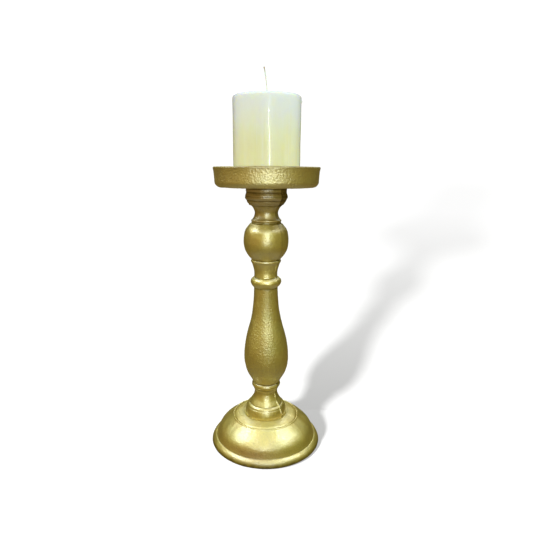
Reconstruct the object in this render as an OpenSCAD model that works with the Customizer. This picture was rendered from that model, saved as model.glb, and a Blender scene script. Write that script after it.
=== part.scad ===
// Altar candlestick for one 76 mm pillar candle.
// A hollow cast foot carries a stack of cast and turned sections. Each section drops a short round
// spigot into the one below, and one steel tie rod clamps the whole stack between a nut under the
// foot and the threaded pricket in the drip pan. The candle lifts off the pricket.
// Units are millimetres, +Z is up, and the origin is on the axis at the surface the pads stand on.

/* [Candle] */
// Diameter of the pillar candle at its foot
candle_d = 75.8; // [60:0.1:90]
// How much wider the candle is at its top, from the draft of its mould
candle_draft = 0.8; // [0:0.1:2]
// Height of the wax above the pan's floor
candle_h = 96.5; // [50:0.5:150]
// Radius of the candle's worn top edge
candle_edge = 3; // [1:0.5:6]
// Thickness of the wick
wick_d = 1.7; // [1:0.1:4]
// Height of the wick above the wax
wick_h = 30.5; // [8:0.5:40]
// How far the tip of the wick leans to -X
wick_lean = 3.4; // [1:0.1:6]

/* [Drip pan] */
// Outer diameter of the pan at its rim
pan_d = 122.8; // [110:0.1:150]
// Overall height of the pan
pan_h = 23; // [16:0.1:30]
// Thickness of the pan's wall and floor
pan_wall = 2.8; // [2:0.1:3.5]
// Height of the rounded corner under the pan
pan_corner = 7; // [5:0.1:9]

/* [Stem] */
// Height of the stem's foot, the ring and the spool above it
stem_foot_h = 34.7; // [30:0.1:45]
// Diameter of the ring at the bottom of the stem
ring_d = 50.8; // [44:0.1:56]
// Height of that ring
ring_h = 14; // [10:0.1:14.5]
// Height of the collar under the pear
collar_h = 7.5; // [6:0.1:12]
// Largest diameter of the collar
collar_d = 35.6; // [32:0.1:40]
// Height of the pear-shaped baluster
pear_h = 121; // [90:1:160]
// Largest diameter of the pear
pear_d = 54.4; // [48:0.1:62]
// Height of the bead above the pear
bead_h = 12.5; // [9:0.1:18]
// Largest diameter of the bead
bead_d = 36.8; // [32:0.1:42]
// Height of the neck, with its flange
neck_h = 21.4; // [18:0.1:30]
// Diameter of the neck at its waist
neck_d = 27.8; // [25:0.1:32]
// Height of the ball
ball_h = 44.4; // [38:0.1:48]
// Largest diameter of the ball
ball_d = 53.2; // [48:0.1:60]
// Height of the upper spool
spool_h = 19.2; // [16:0.1:26]
// Diameter of the upper spool at its waist
spool_d = 27.3; // [24:0.1:30]
// Height of the cup that carries the pan
cup_h = 20.3; // [18:0.1:28]
// Largest diameter of the cup
cup_d = 50.4; // [44:0.1:56]

/* [Foot] */
// Outer diameter of the foot at its lip
foot_d = 135.6; // [130:0.1:150]
// Height of the foot from the bottom of its lip to the seat of the stem
foot_h = 36.1; // [34:0.1:40]
// Height of the rolled lip
lip_h = 8.2; // [6.5:0.1:9]
// Width of the flat that the pads are glued to
rim_w = 9; // [8.5:0.1:11]
// Thickness of the felt pads
pad_h = 1.5; // [1:0.1:3]
// Diameter of the felt pads
pad_d = 7; // [5:0.1:8]
// Number of felt pads
pad_count = 4; // [3:1:8]

/* [Tie rod and fasteners] */
// Nominal thread diameter of the tie rod
rod_d = 8; // [6:0.1:8]
// Diameter of the hole for the rod through each section
bore_d = 9; // [8.5:0.1:10]
// Diameter of the register spigots
spigot_d = 15; // [13:0.1:16]
// Length of the register spigots
spigot_h = 3; // [2:0.1:4]
// Width across the flats of the nut
nut_af = 13; // [12:0.1:14]
// Height of the nut
nut_h = 6.5; // [5:0.1:8]
// Diameter of the flat washer
washer_d = 24; // [18:0.1:26]
// Height of the pricket above the pan's floor
pricket_h = 22; // [15:0.5:30]
// Diameter of the pricket at its foot
pricket_d = 6.4; // [5:0.1:9]

/* [Hidden] */
$fn = 96;

// Running clearance between a spigot and its socket, on the radius and at the bottom
reg_gap = 0.1;
socket_floor = 0.3;
// Clearance of threads, which are drawn as plain cylinders
thread_gap = 0.05;
// Wall of the cored castings and the thickness of their end webs
core_wall = 5;
core_web = 9;

// Heights of the joints between the sections, from the floor upwards
foot_z = pad_h;
stem_z = foot_z + foot_h;
collar_z = stem_z + stem_foot_h;
pear_z = collar_z + collar_h;
bead_z = pear_z + pear_h;
neck_z = bead_z + bead_h;
ball_z = neck_z + neck_h;
spool_z = ball_z + ball_h;
cup_z = spool_z + spool_h;
pan_z = cup_z + cup_h;
floor_z = pan_z + pan_wall;
wax_top_z = floor_z + candle_h;

// The crown of the foot: its underside, the boss below it and the stack of fasteners
crown_h = 4.8;
boss_r = 15;
boss_h = 3;
boss_z = stem_z - crown_h - boss_h;
washer_h = 1.6;
spring_h = 2;
spring_d = 14.8;
spring_split = 1.4;
nut_z = boss_z - washer_h - spring_h - nut_h;
rod_tail = 4;

// The pricket's flange and its hub, which is threaded onto the rod
flange_r = 11;
flange_t = 2;
hub_r = 6;
hub_h = 10;
hub_z = floor_z - flange_t - hub_h;
hub_thread_h = 9;
rod_top_z = hub_z + hub_thread_h - 0.5;
pan_spigot_r = 13;
pan_spigot_h = 4;
tip_r = 0.5;
spike_gap = 0.15;

foot_r = foot_d / 2;
rim_r = foot_r - 1 - rim_w;
pan_r = pan_d / 2;
bore_r = bore_d / 2;
spigot_r = spigot_d / 2;
neck_r = neck_d / 2;
spool_r = spool_d / 2;

gold = [0.62, 0.55, 0.24];
pale_gold = [0.70, 0.64, 0.33];
steel = [0.62, 0.63, 0.64];
felt = [0.16, 0.15, 0.13];
wax = [0.93, 0.93, 0.80];
cotton = [0.93, 0.88, 0.78];

// A turned outline through stations [height, radius, change of radius per height]: a smooth cubic
// runs from each station to the next, in n straight steps. It gives points [radius, height].
function turned(st, n = 6) = [
    for (k = [0:len(st) - 2])
        let (a = st[k], b = st[k + 1], h = b[0] - a[0])
        for (i = [(k == 0 ? 0 : 1):n])
            let (t = i / n)
            [
                a[1] * (2 * t^3 - 3 * t^2 + 1) + a[2] * h * (t^3 - 2 * t^2 + t)
                    + b[1] * (3 * t^2 - 2 * t^3) + b[2] * h * (t^3 - t^2),
                a[0] + t * h,
            ],
];

// Points on an elliptic arc about [radius, height], between two angles from the horizontal.
function arc(c, rx, rz, from, to, n = 8) = [
    for (i = [0:n])
        let (a = from + (to - from) * i / n)
        [c[0] + rx * cos(a), c[1] + rz * sin(a)],
];

// The hollow of a cored section: it follows the outline at one wall's depth, between two solid ends.
function cored(pts, height) = [
    for (p = pts) if (p[1] > core_web && p[1] < height - core_web) [p[0] - core_wall, p[1]],
];

// A solid of revolution whose outline runs upwards and is closed along the axis.
module lathe(pts) {
    last = pts[len(pts) - 1];
    rotate_extrude() polygon(concat([[0, pts[0][1]]], pts, [[0, last[1]]]));
}

// A stem section from its outline, with a spigot below, a socket above and the rod's hole through it.
module section(pts, height, spigot = true, socket = true) {
    difference() {
        union() {
            lathe(pts);
            if (spigot) translate([0, 0, -spigot_h]) cylinder(r = spigot_r, h = spigot_h + 1);
        }
        translate([0, 0, -spigot_h - 1]) cylinder(r = bore_r, h = height + spigot_h + 2);
        if (socket)
            translate([0, 0, height - spigot_h - socket_floor])
                cylinder(r = spigot_r + reg_gap, h = spigot_h + socket_floor + 1);
        children();
    }
}

// Outlines of the stem's sections, each from its own bottom face.
stem_foot_pts = let (r = ring_d / 2, h = stem_foot_h) concat(
    turned([[0, r - 0.5, 0.25], [3, r, 0], [ring_h * 0.64, r - 1, -0.35], [ring_h, r - 4.5, -1.4]], 4),
    turned([
        [ring_h + 0.1, r - 4.9, -0.4],
        [h * 0.5, r - 6.7, -0.66],
        [h * 0.655, neck_r + 1.8, -0.4],
        [h * 0.84, neck_r + 0.4, 0],
        [h, neck_r + 2, 0.42],
    ], 5)
);
collar_pts = let (r = collar_d / 2, h = collar_h)
    turned([[0, r - 1.8, 0.8], [h * 0.5, r, 0], [h * 0.8, r - 0.7, -0.5], [h, r - 2.2, -1.6]], 4);
pear_pts = let (r = pear_d / 2, h = pear_h) turned([
    [0, r * 0.585, 0.7],
    [h * 0.062, r * 0.752, 0.64],
    [h * 0.136, r * 0.909, 0.3],
    [h * 0.277, r, 0],
    [h * 0.5, r * 0.871, -0.235],
    [h * 0.7, r * 0.645, -0.2],
    [h * 0.85, r * 0.555, -0.085],
    [h, r * 0.524, -0.03],
], 5);
bead_pts = let (r = bead_d / 2, h = bead_h) turned([
    [0, r - 4, 0.9],
    [h * 0.28, r - 1.1, 0.5],
    [h * 0.535, r, 0],
    [h * 0.76, r - 0.7, -0.5],
    [h, r - 4, -1.5],
], 4);
neck_pts = let (h = neck_h) turned([
    [0, neck_r + 0.2, -0.08],
    [h * 0.187, neck_r, 0],
    [h * 0.61, neck_r + 1.6, 0.33],
    [h * 0.8, neck_r + 3, 0.45],
    [h * 0.9, neck_r + 4.1, 0.05],
    [h, neck_r + 2.6, -1.6],
], 4);

// The ball is a little taller than it is wide, with a thin ring turned on its top.
top_ring_h = 1.9;
top_ring_r = spool_r + 3.75;
ball_top = ball_h - top_ring_h;
ball_pts = let (r = ball_d / 2, h = ball_h) concat(
    turned([
        [0, r - 9.8, 1],
        [h * 0.126, r - 4.9, 0.68],
        [h * 0.261, r - 1.6, 0.35],
        [h * 0.486, r, 0],
        [h * 0.712, r - 1, -0.22],
        [h * 0.833, r - 3.4, -0.74],
        [ball_top, r - 7.9, -0.86],
    ], 4),
    arc([top_ring_r - 0.9, ball_top + top_ring_h / 2], 0.9, top_ring_h / 2, -90, 90, 6)
);
spool_pts = let (h = spool_h) concat(
    turned([[0, spool_r + 3.4, 0.5], [h * 0.07, spool_r + 4.1, 0], [h * 0.13, spool_r + 3.7, -0.8]], 3),
    turned([
        [h * 0.15, spool_r + 3.1, -1.1],
        [h * 0.3, spool_r + 1.1, -0.45],
        [h * 0.545, spool_r, 0],
        [h * 0.79, spool_r + 1.5, 0.5],
        [h, spool_r + 5, 1.3],
    ], 5)
);
cup_pts = let (r = cup_d / 2, h = cup_h) turned([
    [0, r - 5.4, 0.9],
    [h * 0.25, r - 1.9, 0.5],
    [h * 0.47, r, 0],
    [h * 0.7, r - 1.2, -0.1],
    [h, r - 0.9, 0.05],
], 5);

module felt_pads() {
    pad_pitch_r = rim_r + pad_d / 2 + 0.1;
    color(felt)
        for (i = [0:pad_count - 1])
            rotate([0, 0, 45 + i * 360 / pad_count])
                translate([pad_pitch_r, 0, 0]) cylinder(d = pad_d, h = pad_h);
}

// The foot is a thin dome: a rolled lip, the dome, a fine turned ridge and a cushion under the stem.
module foot_dome() {
    ridge_r = foot_r - 27.5;
    ridge_z = foot_h - 3;
    cushion_r = ring_d / 2 - 0.6;
    cushion_z = foot_h - 3.1;
    outer = concat(
        turned([
            [0, foot_r - 0.7, 1.2],
            [lip_h * 0.14, foot_r, 0],
            [lip_h * 0.5, foot_r - 1.2, -0.5],
            [lip_h * 0.8, foot_r - 3.1, -1.1],
            [lip_h, foot_r - 5.1, -1.8],
        ], 4),
        turned([
            [lip_h + 0.05, foot_r - 5.9, -0.5],
            [foot_h * 0.52, foot_r - 10.5, -0.7],
            [foot_h * 0.717, foot_r - 17.2, -1.2],
            [ridge_z - 0.3, foot_r - 26.6, -1.4],
        ], 6),
        arc([ridge_r, ridge_z], 0.8, 0.7, 30, 150, 4),
        arc([cushion_r, cushion_z], ridge_r - 0.9 - cushion_r, foot_h + 0.6 - cushion_z, 0, 82, 9),
        [[ring_d / 2 + 0.6, foot_h]]
    );
    crown_r = foot_r - 36.3;
    inner = turned([
        [0, rim_r, 0],
        [lip_h * 0.8, rim_r - 0.2, -0.15],
        [foot_h * 0.4, rim_r - 2.2, -0.5],
        [foot_h * 0.62, rim_r - 9.5, -1.2],
        [foot_h * 0.78, rim_r - 18, -1.9],
        [foot_h - crown_h, crown_r, -4],
    ], 5);
    boss_bottom = foot_h - crown_h - boss_h;
    color(gold)
        translate([0, 0, foot_z])
            difference() {
                lathe(outer);
                translate([0, 0, -1]) cylinder(r = rim_r, h = 1.01);
                difference() {
                    lathe(inner);
                    translate([0, 0, boss_bottom]) cylinder(r1 = boss_r, r2 = boss_r + 1.5, h = boss_h + 1);
                }
                cylinder(r = bore_r, h = foot_h + 1);
                translate([0, 0, foot_h - spigot_h - socket_floor])
                    cylinder(r = spigot_r + reg_gap, h = spigot_h + 1);
            }
}

module flat_washer() {
    color(steel)
        translate([0, 0, boss_z - washer_h])
            difference() {
                cylinder(d = washer_d, h = washer_h);
                translate([0, 0, -1]) cylinder(d = rod_d + 0.8, h = washer_h + 2);
            }
}

module spring_washer() {
    color(steel)
        translate([0, 0, boss_z - washer_h - spring_h])
            difference() {
                cylinder(d = spring_d, h = spring_h);
                translate([0, 0, -1]) cylinder(d = rod_d + 0.4, h = spring_h + 2);
                translate([0, -spring_split / 2, -1]) cube([spring_d, spring_split, spring_h + 2]);
            }
}

// A full nut, chamfered at both ends.
module hex_nut() {
    corner_r = nut_af / sqrt(3);
    bevel = corner_r - nut_af / 2;
    color(steel)
        translate([0, 0, nut_z])
            difference() {
                intersection() {
                    cylinder(r = corner_r, h = nut_h, $fn = 6);
                    lathe([
                        [corner_r - bevel, 0],
                        [corner_r + 0.1, bevel * 0.6],
                        [corner_r + 0.1, nut_h - bevel * 0.6],
                        [corner_r - bevel, nut_h],
                    ]);
                }
                translate([0, 0, -1]) cylinder(r = rod_d / 2 + thread_gap, h = nut_h + 2);
            }
}

module tie_rod() {
    r = rod_d / 2;
    bottom = nut_z - rod_tail;
    color(steel)
        lathe([[r - 0.8, bottom], [r, bottom + 0.8], [r, rod_top_z - 0.8], [r - 0.8, rod_top_z]]);
}

module stem_foot() {
    color(pale_gold) translate([0, 0, stem_z]) section(stem_foot_pts, stem_foot_h);
}

module lower_collar() {
    color(gold) translate([0, 0, collar_z]) section(collar_pts, collar_h);
}

module pear_baluster() {
    color(pale_gold) translate([0, 0, pear_z]) section(pear_pts, pear_h) lathe(cored(pear_pts, pear_h));
}

module bead_ring() {
    color(gold) translate([0, 0, bead_z]) section(bead_pts, bead_h);
}

module neck() {
    color(pale_gold) translate([0, 0, neck_z]) section(neck_pts, neck_h);
}

module ball_knop() {
    color(gold) translate([0, 0, ball_z]) section(ball_pts, ball_h) lathe(cored(ball_pts, ball_h));
}

module upper_spool() {
    color(pale_gold) translate([0, 0, spool_z]) section(spool_pts, spool_h);
}

// The cup has a wide socket for the pan's spigot, and room below it for the pricket's hub.
module cup() {
    hub_room = pan_z - hub_z + 1;
    color(gold)
        translate([0, 0, cup_z])
            section(cup_pts, cup_h, socket = false) {
                translate([0, 0, cup_h - pan_spigot_h - socket_floor])
                    cylinder(r = pan_spigot_r + reg_gap, h = pan_spigot_h + 1);
                translate([0, 0, cup_h - hub_room]) cylinder(r = hub_r + 0.3, h = hub_room);
            }
}

module drip_pan() {
    side_r = pan_r - 1.6;
    lip_r = pan_wall / 2;
    outer = concat(
        arc([side_r - pan_corner, pan_corner], pan_corner, pan_corner, -90, 0, 8),
        turned([
            [pan_corner + 0.2, side_r, 0.03],
            [pan_h * 0.7, side_r + 0.6, 0.09],
            [pan_h - lip_r, pan_r, 0.2],
        ], 4),
        arc([pan_r - lip_r, pan_h - lip_r], lip_r, lip_r, 10, 90, 5)
    );
    well_r = pan_corner - pan_wall + 1;
    inside = concat(
        arc([side_r - pan_wall - well_r, pan_wall + well_r], well_r, well_r, -90, 0, 6),
        [[pan_r - pan_wall - 0.3, pan_h - lip_r]],
        arc([pan_r - lip_r, pan_h - lip_r], lip_r, lip_r, 170, 95, 4),
        [[pan_r - lip_r, pan_h + 1]]
    );
    color(gold)
        translate([0, 0, pan_z])
            difference() {
                union() {
                    lathe(outer);
                    translate([0, 0, -pan_spigot_h]) cylinder(r = pan_spigot_r, h = pan_spigot_h + 1);
                }
                lathe(inside);
                translate([0, 0, pan_wall - flange_t]) cylinder(r = flange_r + 0.2, h = flange_t + 1);
                translate([0, 0, -pan_spigot_h - 1]) cylinder(r = hub_r + 0.1, h = pan_spigot_h + pan_wall);
            }
}

// The pricket is a turned spike with a flange let into the pan's floor and a threaded hub below.
module pricket() {
    color(steel)
        translate([0, 0, floor_z])
            difference() {
                lathe(concat(
                    [
                        [hub_r, -flange_t - hub_h],
                        [hub_r, -flange_t],
                        [flange_r, -flange_t],
                        [flange_r, 0],
                    ],
                    spike_pts(0)
                ));
                translate([0, 0, -flange_t - hub_h - 1])
                    cylinder(r = rod_d / 2 + thread_gap, h = hub_thread_h + 1);
            }
}

// Outline of the spike, or of the hole it leaves in the wax when it is larger by gap.
function spike_pts(gap) = [
    [pricket_d / 2 + gap, 0],
    [pricket_d / 2 - 0.6 + gap, pricket_h * 0.3],
    [tip_r + gap, pricket_h + gap],
];

module candle_wax() {
    foot = candle_d / 2;
    top = foot + candle_draft / 2;
    dish = 0.6;
    color(wax)
        translate([0, 0, floor_z])
            difference() {
                lathe(concat(
                    [[foot - 0.8, 0], [foot, 0.8]],
                    arc([top - candle_edge, candle_h - candle_edge], candle_edge, candle_edge, 0, 90, 7),
                    turned([[candle_h, top - candle_edge - 0.1, 0], [candle_h + dish, top * 0.5, -20]], 4)
                ));
                lathe(concat([[pricket_d / 2 + spike_gap, -1]], spike_pts(spike_gap)));
                translate([0, 0, pricket_h + 1]) cylinder(d = wick_d, h = candle_h);
            }
}

// The wick runs straight up through the wax and then bends to -X on one arc.
module candle_wick() {
    bend_r = (wick_h^2 + wick_lean^2) / (2 * wick_lean);
    bend = asin(wick_h / bend_r);
    color(cotton) {
        translate([0, 0, floor_z + pricket_h + 1])
            cylinder(d = wick_d, h = wax_top_z - floor_z - pricket_h - 1);
        translate([-bend_r, 0, wax_top_z])
            rotate([90, 0, 0])
                rotate_extrude(angle = bend) translate([bend_r, 0]) circle(d = wick_d);
    }
}

felt_pads();
foot_dome();
flat_washer();
spring_washer();
hex_nut();
tie_rod();
stem_foot();
lower_collar();
pear_baluster();
bead_ring();
neck();
ball_knop();
upper_spool();
cup();
drip_pan();
pricket();
candle_wax();
candle_wick();
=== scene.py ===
import math
import bpy
import numpy as np
from mathutils import Matrix
from mathutils import Vector


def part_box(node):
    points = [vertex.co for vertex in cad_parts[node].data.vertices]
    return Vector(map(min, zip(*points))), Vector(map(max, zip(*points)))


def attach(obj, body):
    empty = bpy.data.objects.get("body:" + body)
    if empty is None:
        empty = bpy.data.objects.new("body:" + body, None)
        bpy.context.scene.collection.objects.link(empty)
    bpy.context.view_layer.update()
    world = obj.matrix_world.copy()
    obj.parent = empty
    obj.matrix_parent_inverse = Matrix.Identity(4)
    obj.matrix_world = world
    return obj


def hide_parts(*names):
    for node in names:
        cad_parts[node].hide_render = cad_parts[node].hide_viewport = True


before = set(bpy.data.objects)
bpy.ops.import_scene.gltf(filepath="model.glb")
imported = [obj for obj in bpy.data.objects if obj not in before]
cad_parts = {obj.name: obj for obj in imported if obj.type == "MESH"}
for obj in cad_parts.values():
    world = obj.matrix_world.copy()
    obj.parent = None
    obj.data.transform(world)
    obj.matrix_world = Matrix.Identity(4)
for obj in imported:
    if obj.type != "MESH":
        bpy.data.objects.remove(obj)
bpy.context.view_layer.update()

# The altar candlestick, in metres: +Z is up, the origin is on the axis on the floor.
# Each cast section is turned from its CAD outline, with rounded edges, cast relief and a parting
# line where the two halves of its mould met.
MM = 0.001
FULL_TURN = 2 * math.pi

# ---------------------------------------------------------------- camera
IMAGE_WIDTH = 533
SENSOR = 36.0
FOCAL_PIXELS = 453.2
CAMERA_BACK = 529.7 * MM
CAMERA_SIDE = 0.35 * MM
CAMERA_HEIGHT = 335.3 * MM
CAMERA_DOWN = math.radians(11.72)
CAMERA_ROLL = math.radians(0.27)
NEAREST_SEEN = 0.02
FARTHEST_SEEN = 40.0

camera_data = bpy.data.cameras.new("camera")
camera_data.sensor_width = SENSOR
camera_data.lens = FOCAL_PIXELS * SENSOR / IMAGE_WIDTH
camera_data.clip_start = NEAREST_SEEN
camera_data.clip_end = FARTHEST_SEEN
camera = bpy.data.objects.new("camera", camera_data)
bpy.context.scene.collection.objects.link(camera)
camera.matrix_world = (
    Matrix.Translation((CAMERA_SIDE, -CAMERA_BACK, CAMERA_HEIGHT))
    @ Matrix.Rotation(math.pi / 2 - CAMERA_DOWN, 4, "X")
    @ Matrix.Rotation(CAMERA_ROLL, 4, "Z")
)
bpy.context.scene.camera = camera
bpy.context.scene.view_settings.view_transform = "Standard"


# ---------------------------------------------------------------- node helpers
class Nodes:
    """A small helper that adds and links shader nodes."""

    def __init__(self, tree):
        self.tree = tree

    def add(self, kind, inputs=None, **settings):
        node = self.tree.nodes.new(kind)
        for key, value in settings.items():
            setattr(node, key, value)
        self.feed_all(node, inputs or {})
        return node

    def feed(self, value, socket):
        if isinstance(value, bpy.types.NodeSocket):
            self.tree.links.new(value, socket)
        else:
            socket.default_value = value

    def feed_all(self, node, inputs):
        for key, value in inputs.items():
            self.feed(value, node.inputs[key])

    def math(self, operation, a, b=0.0, clamp=False):
        node = self.add("ShaderNodeMath", {0: a, 1: b}, operation=operation, use_clamp=clamp)
        return node.outputs[0]

    def vector(self, operation, a, b=None):
        inputs = {0: a} if b is None else {0: a, 1: b}
        return self.add("ShaderNodeVectorMath", inputs, operation=operation).outputs

    def mix(self, factor, a, b):
        node = self.add("ShaderNodeMix", data_type="RGBA", blend_type="MIX")
        self.feed(factor, node.inputs[0])
        self.feed(a, node.inputs[6])
        self.feed(b, node.inputs[7])
        return node.outputs[2]

    def noise(self, vector, scale, detail=2.0, rough=0.5, distortion=0.0):
        node = self.add(
            "ShaderNodeTexNoise",
            {
                "Vector": vector,
                "Scale": scale,
                "Detail": detail,
                "Roughness": rough,
                "Distortion": distortion,
            },
        )
        return node.outputs[0]

    def drawn_noise(self, vector, scales, detail=2.0, rough=0.5, distortion=0.0):
        """Noise with its own scale along each axis, for streaks, fibres and turning marks."""
        mapping = self.add("ShaderNodeMapping", {"Vector": vector, "Scale": scales})
        return self.noise(mapping.outputs[0], 1.0, detail, rough, distortion)

    def band(self, value, low, high, to_low=0.0, to_high=1.0, shape="SMOOTHSTEP"):
        """Runs from to_low to to_high while value goes from low to high."""
        inputs = {0: value, 1: low, 2: high, 3: to_low, 4: to_high}
        return self.add("ShaderNodeMapRange", inputs, interpolation_type=shape).outputs[0]

    def field(self, name):
        return self.add("ShaderNodeAttribute", attribute_name=name).outputs["Fac"]

    def bump(self, height, distance, strength=1.0, normal=None):
        inputs = {"Height": height, "Distance": distance, "Strength": strength}
        if normal is not None:
            inputs["Normal"] = normal
        return self.add("ShaderNodeBump", inputs).outputs[0]

    def parts(self, vector):
        return self.add("ShaderNodeSeparateXYZ", {0: vector}).outputs

    def joined(self, x, y, z=0.0):
        return self.add("ShaderNodeCombineXYZ", {0: x, 1: y, 2: z}).outputs[0]

    def surface(self, output):
        return self.add("ShaderNodeNewGeometry").outputs[output]


def material(name):
    made = bpy.data.materials.new(name)
    made.use_nodes = True
    made.node_tree.nodes.clear()
    nodes = Nodes(made.node_tree)
    shader = nodes.add("ShaderNodeBsdfPrincipled")
    output = nodes.add("ShaderNodeOutputMaterial")
    nodes.feed(shader.outputs[0], output.inputs[0])
    place = nodes.add("ShaderNodeTexCoord").outputs["Object"]
    return made, nodes, shader, place


# ---------------------------------------------------------------- materials
# Colours are linear, noise scales are per metre and bump distances are in metres.
def antique_gold():
    """Gilt paint on a casting: mottled, with a fine peel and a clear coat, and darkened towards deep brown
    as painted shade in its hollows and joints, mixed with real soiling.
    """
    olive_gold = (0.59, 0.44, 0.045, 1)
    warm_gold = (0.56, 0.46, 0.055, 1)
    pale_gold = (0.64, 0.52, 0.12, 1)
    rusty_brown = (0.47, 0.31, 0.075, 1)
    dark_speck = (0.34, 0.23, 0.035, 1)
    crease_shade_and_dirt = (0.095, 0.062, 0.006, 1)
    made, nodes, shader, place = material("antique_gold")
    grime = nodes.field("grime")
    peel = nodes.field("peel")
    brown = nodes.field("brown")
    broad = nodes.noise(place, scale=38.0, detail=3.0)
    patches = nodes.noise(place, scale=120.0, detail=4.0, rough=0.6)
    fine = nodes.noise(place, scale=480.0, detail=5.0, rough=0.7)
    tone = nodes.mix(nodes.band(broad, 0.35, 0.68), olive_gold, warm_gold)
    tone = nodes.mix(nodes.band(patches, 0.5, 0.8, to_high=0.5), tone, pale_gold)
    tone = nodes.mix(nodes.math("MULTIPLY", brown, 0.8, clamp=True), tone, rusty_brown)
    share = nodes.math("ADD", nodes.math("MULTIPLY", brown, 0.6), 0.5)
    speckle = nodes.math("MULTIPLY", nodes.band(fine, 0.52, 0.70), share, clamp=True)
    tone = nodes.mix(speckle, tone, dark_speck)
    # Painted shade: hollows, joints and each piece's own dark marks go towards deep brown, mixed with real
    # soiling.
    shade_and_dirt = nodes.math("MULTIPLY", grime, nodes.band(patches, 0.2, 0.7, to_low=0.65), clamp=True)
    tone = nodes.mix(shade_and_dirt, tone, crease_shade_and_dirt)
    rough = nodes.band(patches, 0.3, 0.7, to_low=0.46, to_high=0.56)
    rough = nodes.math("ADD", rough, nodes.math("MULTIPLY", grime, 0.25))
    coat = nodes.band(grime, 0.15, 0.95, to_low=1.0, to_high=0.2)
    coat_rough = nodes.band(peel, 0.3, 1.0, to_low=0.33, to_high=0.37)
    orange_peel = nodes.noise(place, scale=540.0, detail=3.0, rough=0.55)
    grain = nodes.noise(place, scale=1250.0, detail=3.0, rough=0.6)
    peel_strength = nodes.math("ADD", nodes.math("MULTIPLY", peel, 0.9), 0.06)
    peeled = nodes.bump(orange_peel, distance=0.0010, strength=peel_strength)
    skin = nodes.bump(grain, distance=0.00018, strength=0.6, normal=peeled)
    looks = {
        "Base Color": tone,
        "Metallic": 1.0,
        "Roughness": rough,
        "Coat Weight": coat,
        "Coat IOR": 2.5,
        "Coat Roughness": coat_rough,
        "Normal": skin,
        "Coat Normal": skin,
    }
    nodes.feed_all(shader, looks)
    return made


def bright_steel():
    """Zinc-plated steel: cool grey with fine turning marks and a few darker stains."""
    zinc = (0.56, 0.57, 0.56, 1)
    darkening = (0.34, 0.33, 0.30, 1)
    made, nodes, shader, place = material("bright_steel")
    marks = nodes.drawn_noise(place, (300.0, 300.0, 5200.0))
    stains = nodes.noise(place, scale=260.0, detail=4.0, rough=0.6)
    looks = {
        "Base Color": nodes.mix(nodes.band(stains, 0.45, 0.75), zinc, darkening),
        "Metallic": 1.0,
        "Roughness": nodes.band(stains, 0.3, 0.8, to_low=0.26, to_high=0.48),
        "Normal": nodes.bump(marks, distance=0.00004, strength=0.5),
    }
    nodes.feed_all(shader, looks)
    return made


def black_felt():
    """Pressed felt: matte, fibrous and a little linty."""
    deep = (0.012, 0.011, 0.010, 1)
    lit = (0.055, 0.050, 0.045, 1)
    lint_grey = (0.16, 0.15, 0.14, 1)
    made, nodes, shader, place = material("black_felt")
    fibres = nodes.drawn_noise(place, (2600.0, 2600.0, 900.0), detail=4.0, rough=0.7, distortion=1.5)
    lint = nodes.noise(place, scale=900.0)
    tone = nodes.mix(fibres, deep, lit)
    looks = {
        "Base Color": nodes.mix(nodes.band(lint, 0.62, 0.8, to_high=0.4), tone, lint_grey),
        "Roughness": 0.95,
        "Sheen Weight": 0.5,
        "Sheen Roughness": 0.6,
        "Normal": nodes.bump(fibres, distance=0.0002, strength=0.8),
    }
    nodes.feed_all(shader, looks)
    return made


def pillar_wax():
    """Paraffin wax: ivory in its depth, with the mould's long streaks, a painted pale bluish glow towards
    the top, and painted shade on faces that point up.
    """
    ivory_deep = (0.87, 0.87, 0.53, 1)
    ivory_pale = (0.90, 0.91, 0.64, 1)
    streak_tone = (0.91, 0.94, 0.78, 1)
    top_glow_tone = (0.87, 0.99, 1.0, 1)
    top_face_shade = (0.70, 0.79, 0.84, 1)
    glow_starts = 62 * MM
    glow_ends = 6 * MM
    made, nodes, shader, place = material("pillar_wax")
    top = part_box("candle_wax")[1][2]
    height = nodes.parts(place)[2]
    streaks = nodes.drawn_noise(place, (520.0, 520.0, 9.0), detail=3.0, rough=0.6)
    broad = nodes.drawn_noise(place, (130.0, 130.0, 14.0), detail=3.0)
    cloud = nodes.noise(place, scale=60.0, detail=4.0, rough=0.6)
    wander = nodes.math("MULTIPLY", nodes.math("SUBTRACT", cloud, 0.5), 12 * MM)
    sway = nodes.math("MULTIPLY", nodes.math("SUBTRACT", broad, 0.5), 10 * MM)
    level = nodes.math("ADD", height, nodes.math("ADD", wander, sway))
    # Painted light: the wax turns pale and bluish towards the top, along a wandering edge.
    top_glow = nodes.band(level, top - glow_starts, top + glow_ends)
    ivory = nodes.mix(nodes.band(broad, 0.3, 0.7), ivory_deep, ivory_pale)
    tone = nodes.mix(nodes.band(streaks, 0.50, 0.72, to_high=0.55), ivory, streak_tone)
    tone = nodes.mix(top_glow, tone, top_glow_tone)
    # Painted shade: faces that point up are made darker and bluer.
    upward = nodes.parts(nodes.surface("Normal"))[2]
    tone = nodes.mix(nodes.band(upward, 0.1, 0.8, to_high=0.8), tone, top_face_shade)
    fine = nodes.drawn_noise(place, (1500.0, 1500.0, 60.0))
    skin = nodes.noise(place, scale=700.0, detail=3.0)
    first = nodes.bump(fine, distance=0.00005, strength=0.6)
    looks = {
        "Base Color": tone,
        "Roughness": 0.36,
        "IOR": 1.45,
        "Coat Weight": 0.7,
        "Coat Roughness": 0.05,
        "Subsurface Weight": 0.8,
        "Subsurface Radius": (1.0, 0.9, 0.55),
        "Subsurface Scale": 0.006,
        "Normal": nodes.bump(skin, distance=0.00008, strength=0.4, normal=first),
    }
    nodes.feed_all(shader, looks)
    return made


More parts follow.
